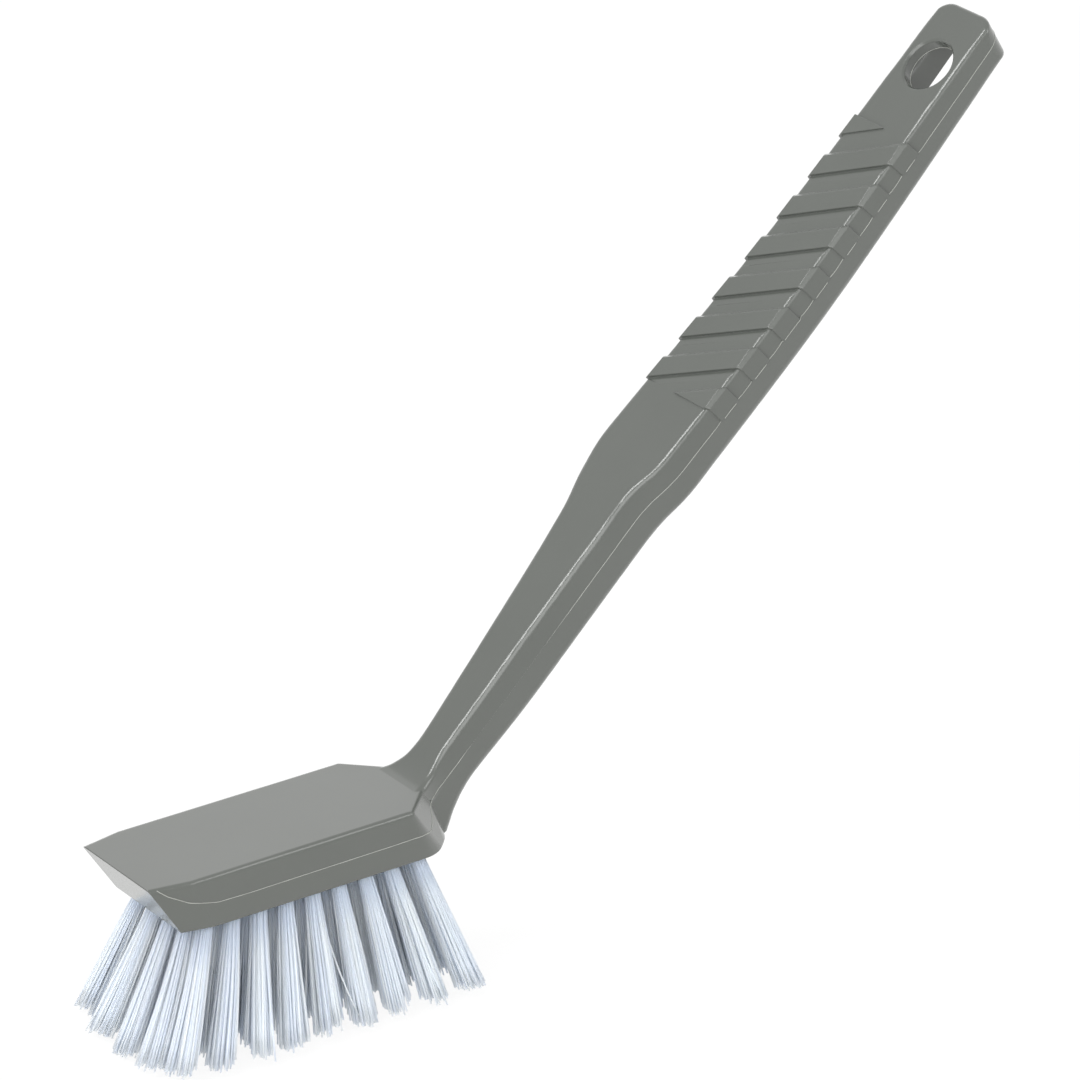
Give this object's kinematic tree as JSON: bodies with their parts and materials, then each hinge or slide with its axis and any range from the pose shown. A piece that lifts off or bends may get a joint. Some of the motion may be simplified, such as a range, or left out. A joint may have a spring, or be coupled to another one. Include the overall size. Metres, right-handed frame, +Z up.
{
  "type": "dish brush",
  "caption": "Moulded dish brush with a level scrubbing head, scraper edge, fanned white bristle tufts and a rising ribbed grip with a hanging hole.",
  "frame": {"origin": "middle of the scrubbing face, on the plane of the bristle tips, under the middle tuft", "axes": "+X from the scraper edge towards the grip, +Y across the head, +Z up from the bristle tips to the head; the head's top and underside are level"},
  "size_m": [0.2354, 0.0442, 0.1947],
  "materials": {
    "moulding": "satin moulded polypropylene",
    "bristle": "white polypropylene filament",
    "anchor_wire": "flat galvanised wire"
  },
  "bodies": {
    "handle": {"handle_moulding": "moulding", "tuft_roots": "bristle", "tuft_anchors": "anchor_wire"},
    "tuft_column_1": {"tuft_c1_r1": "bristle", "tuft_c1_r2": "bristle", "tuft_c1_r3": "bristle", "tuft_c1_r4": "bristle", "tuft_c1_r5": "bristle"},
    "tuft_column_2": {"tuft_c2_r1": "bristle", "tuft_c2_r2": "bristle", "tuft_c2_r3": "bristle", "tuft_c2_r4": "bristle", "tuft_c2_r5": "bristle"},
    "tuft_column_3": {"tuft_c3_r1": "bristle", "tuft_c3_r2": "bristle", "tuft_c3_r3": "bristle", "tuft_c3_r4": "bristle", "tuft_c3_r5": "bristle"},
    "tuft_column_4": {"tuft_c4_r1": "bristle", "tuft_c4_r2": "bristle", "tuft_c4_r3": "bristle", "tuft_c4_r4": "bristle", "tuft_c4_r5": "bristle"},
    "tuft_column_5": {"tuft_c5_r1": "bristle", "tuft_c5_r2": "bristle", "tuft_c5_r3": "bristle", "tuft_c5_r4": "bristle", "tuft_c5_r5": "bristle"},
    "tuft_column_6": {"tuft_c6_r1": "bristle", "tuft_c6_r2": "bristle", "tuft_c6_r3": "bristle", "tuft_c6_r4": "bristle", "tuft_c6_r5": "bristle"},
    "tuft_column_7": {"tuft_c7_r1": "bristle", "tuft_c7_r2": "bristle", "tuft_c7_r3": "bristle", "tuft_c7_r4": "bristle", "tuft_c7_r5": "bristle"},
    "tuft_column_8": {"tuft_c8_r1": "bristle", "tuft_c8_r2": "bristle", "tuft_c8_r3": "bristle", "tuft_c8_r4": "bristle", "tuft_c8_r5": "bristle"},
    "tuft_column_9": {"tuft_c9_r1": "bristle", "tuft_c9_r2": "bristle", "tuft_c9_r3": "bristle", "tuft_c9_r4": "bristle", "tuft_c9_r5": "bristle"}
  },
  "joints": [
    {"name": "tuft_column_1_bend", "type": "hinge", "parent": "handle", "child": "tuft_column_1", "pos_m": [-0.02958, 0, 0.0265], "axis": [0, 1, 0], "range_deg": [-20, 20], "stiffness_Nm_per_rad": 0.028},
    {"name": "tuft_column_2_bend", "type": "hinge", "parent": "handle", "child": "tuft_column_2", "pos_m": [-0.02217, 0, 0.0265], "axis": [0, 1, 0], "range_deg": [-20, 20], "stiffness_Nm_per_rad": 0.028},
    {"name": "tuft_column_3_bend", "type": "hinge", "parent": "handle", "child": "tuft_column_3", "pos_m": [-0.01477, 0, 0.0265], "axis": [0, 1, 0], "range_deg": [-20, 20], "stiffness_Nm_per_rad": 0.028},
    {"name": "tuft_column_4_bend", "type": "hinge", "parent": "handle", "child": "tuft_column_4", "pos_m": [-0.00738, 0, 0.0265], "axis": [0, 1, 0], "range_deg": [-20, 20], "stiffness_Nm_per_rad": 0.028},
    {"name": "tuft_column_5_bend", "type": "hinge", "parent": "handle", "child": "tuft_column_5", "pos_m": [0, 0, 0.0265], "axis": [0, 1, 0], "range_deg": [-20, 20], "stiffness_Nm_per_rad": 0.028},
    {"name": "tuft_column_6_bend", "type": "hinge", "parent": "handle", "child": "tuft_column_6", "pos_m": [0.00738, 0, 0.0265], "axis": [0, 1, 0], "range_deg": [-20, 20], "stiffness_Nm_per_rad": 0.028},
    {"name": "tuft_column_7_bend", "type": "hinge", "parent": "handle", "child": "tuft_column_7", "pos_m": [0.01477, 0, 0.0265], "axis": [0, 1, 0], "range_deg": [-20, 20], "stiffness_Nm_per_rad": 0.028},
    {"name": "tuft_column_8_bend", "type": "hinge", "parent": "handle", "child": "tuft_column_8", "pos_m": [0.02217, 0, 0.0265], "axis": [0, 1, 0], "range_deg": [-20, 20], "stiffness_Nm_per_rad": 0.028},
    {"name": "tuft_column_9_bend", "type": "hinge", "parent": "handle", "child": "tuft_column_9", "pos_m": [0.02958, 0, 0.0265], "axis": [0, 1, 0], "range_deg": [-20, 20], "stiffness_Nm_per_rad": 0.028}
  ],
  "couplings": [
    {"joint": "tuft_column_1_bend", "follows": "tuft_column_5_bend", "ratio": 1},
    {"joint": "tuft_column_2_bend", "follows": "tuft_column_5_bend", "ratio": 1},
    {"joint": "tuft_column_3_bend", "follows": "tuft_column_5_bend", "ratio": 1},
    {"joint": "tuft_column_4_bend", "follows": "tuft_column_5_bend", "ratio": 1},
    {"joint": "tuft_column_6_bend", "follows": "tuft_column_5_bend", "ratio": 1},
    {"joint": "tuft_column_7_bend", "follows": "tuft_column_5_bend", "ratio": 1},
    {"joint": "tuft_column_8_bend", "follows": "tuft_column_5_bend", "ratio": 1},
    {"joint": "tuft_column_9_bend", "follows": "tuft_column_5_bend", "ratio": 1}
  ]
}
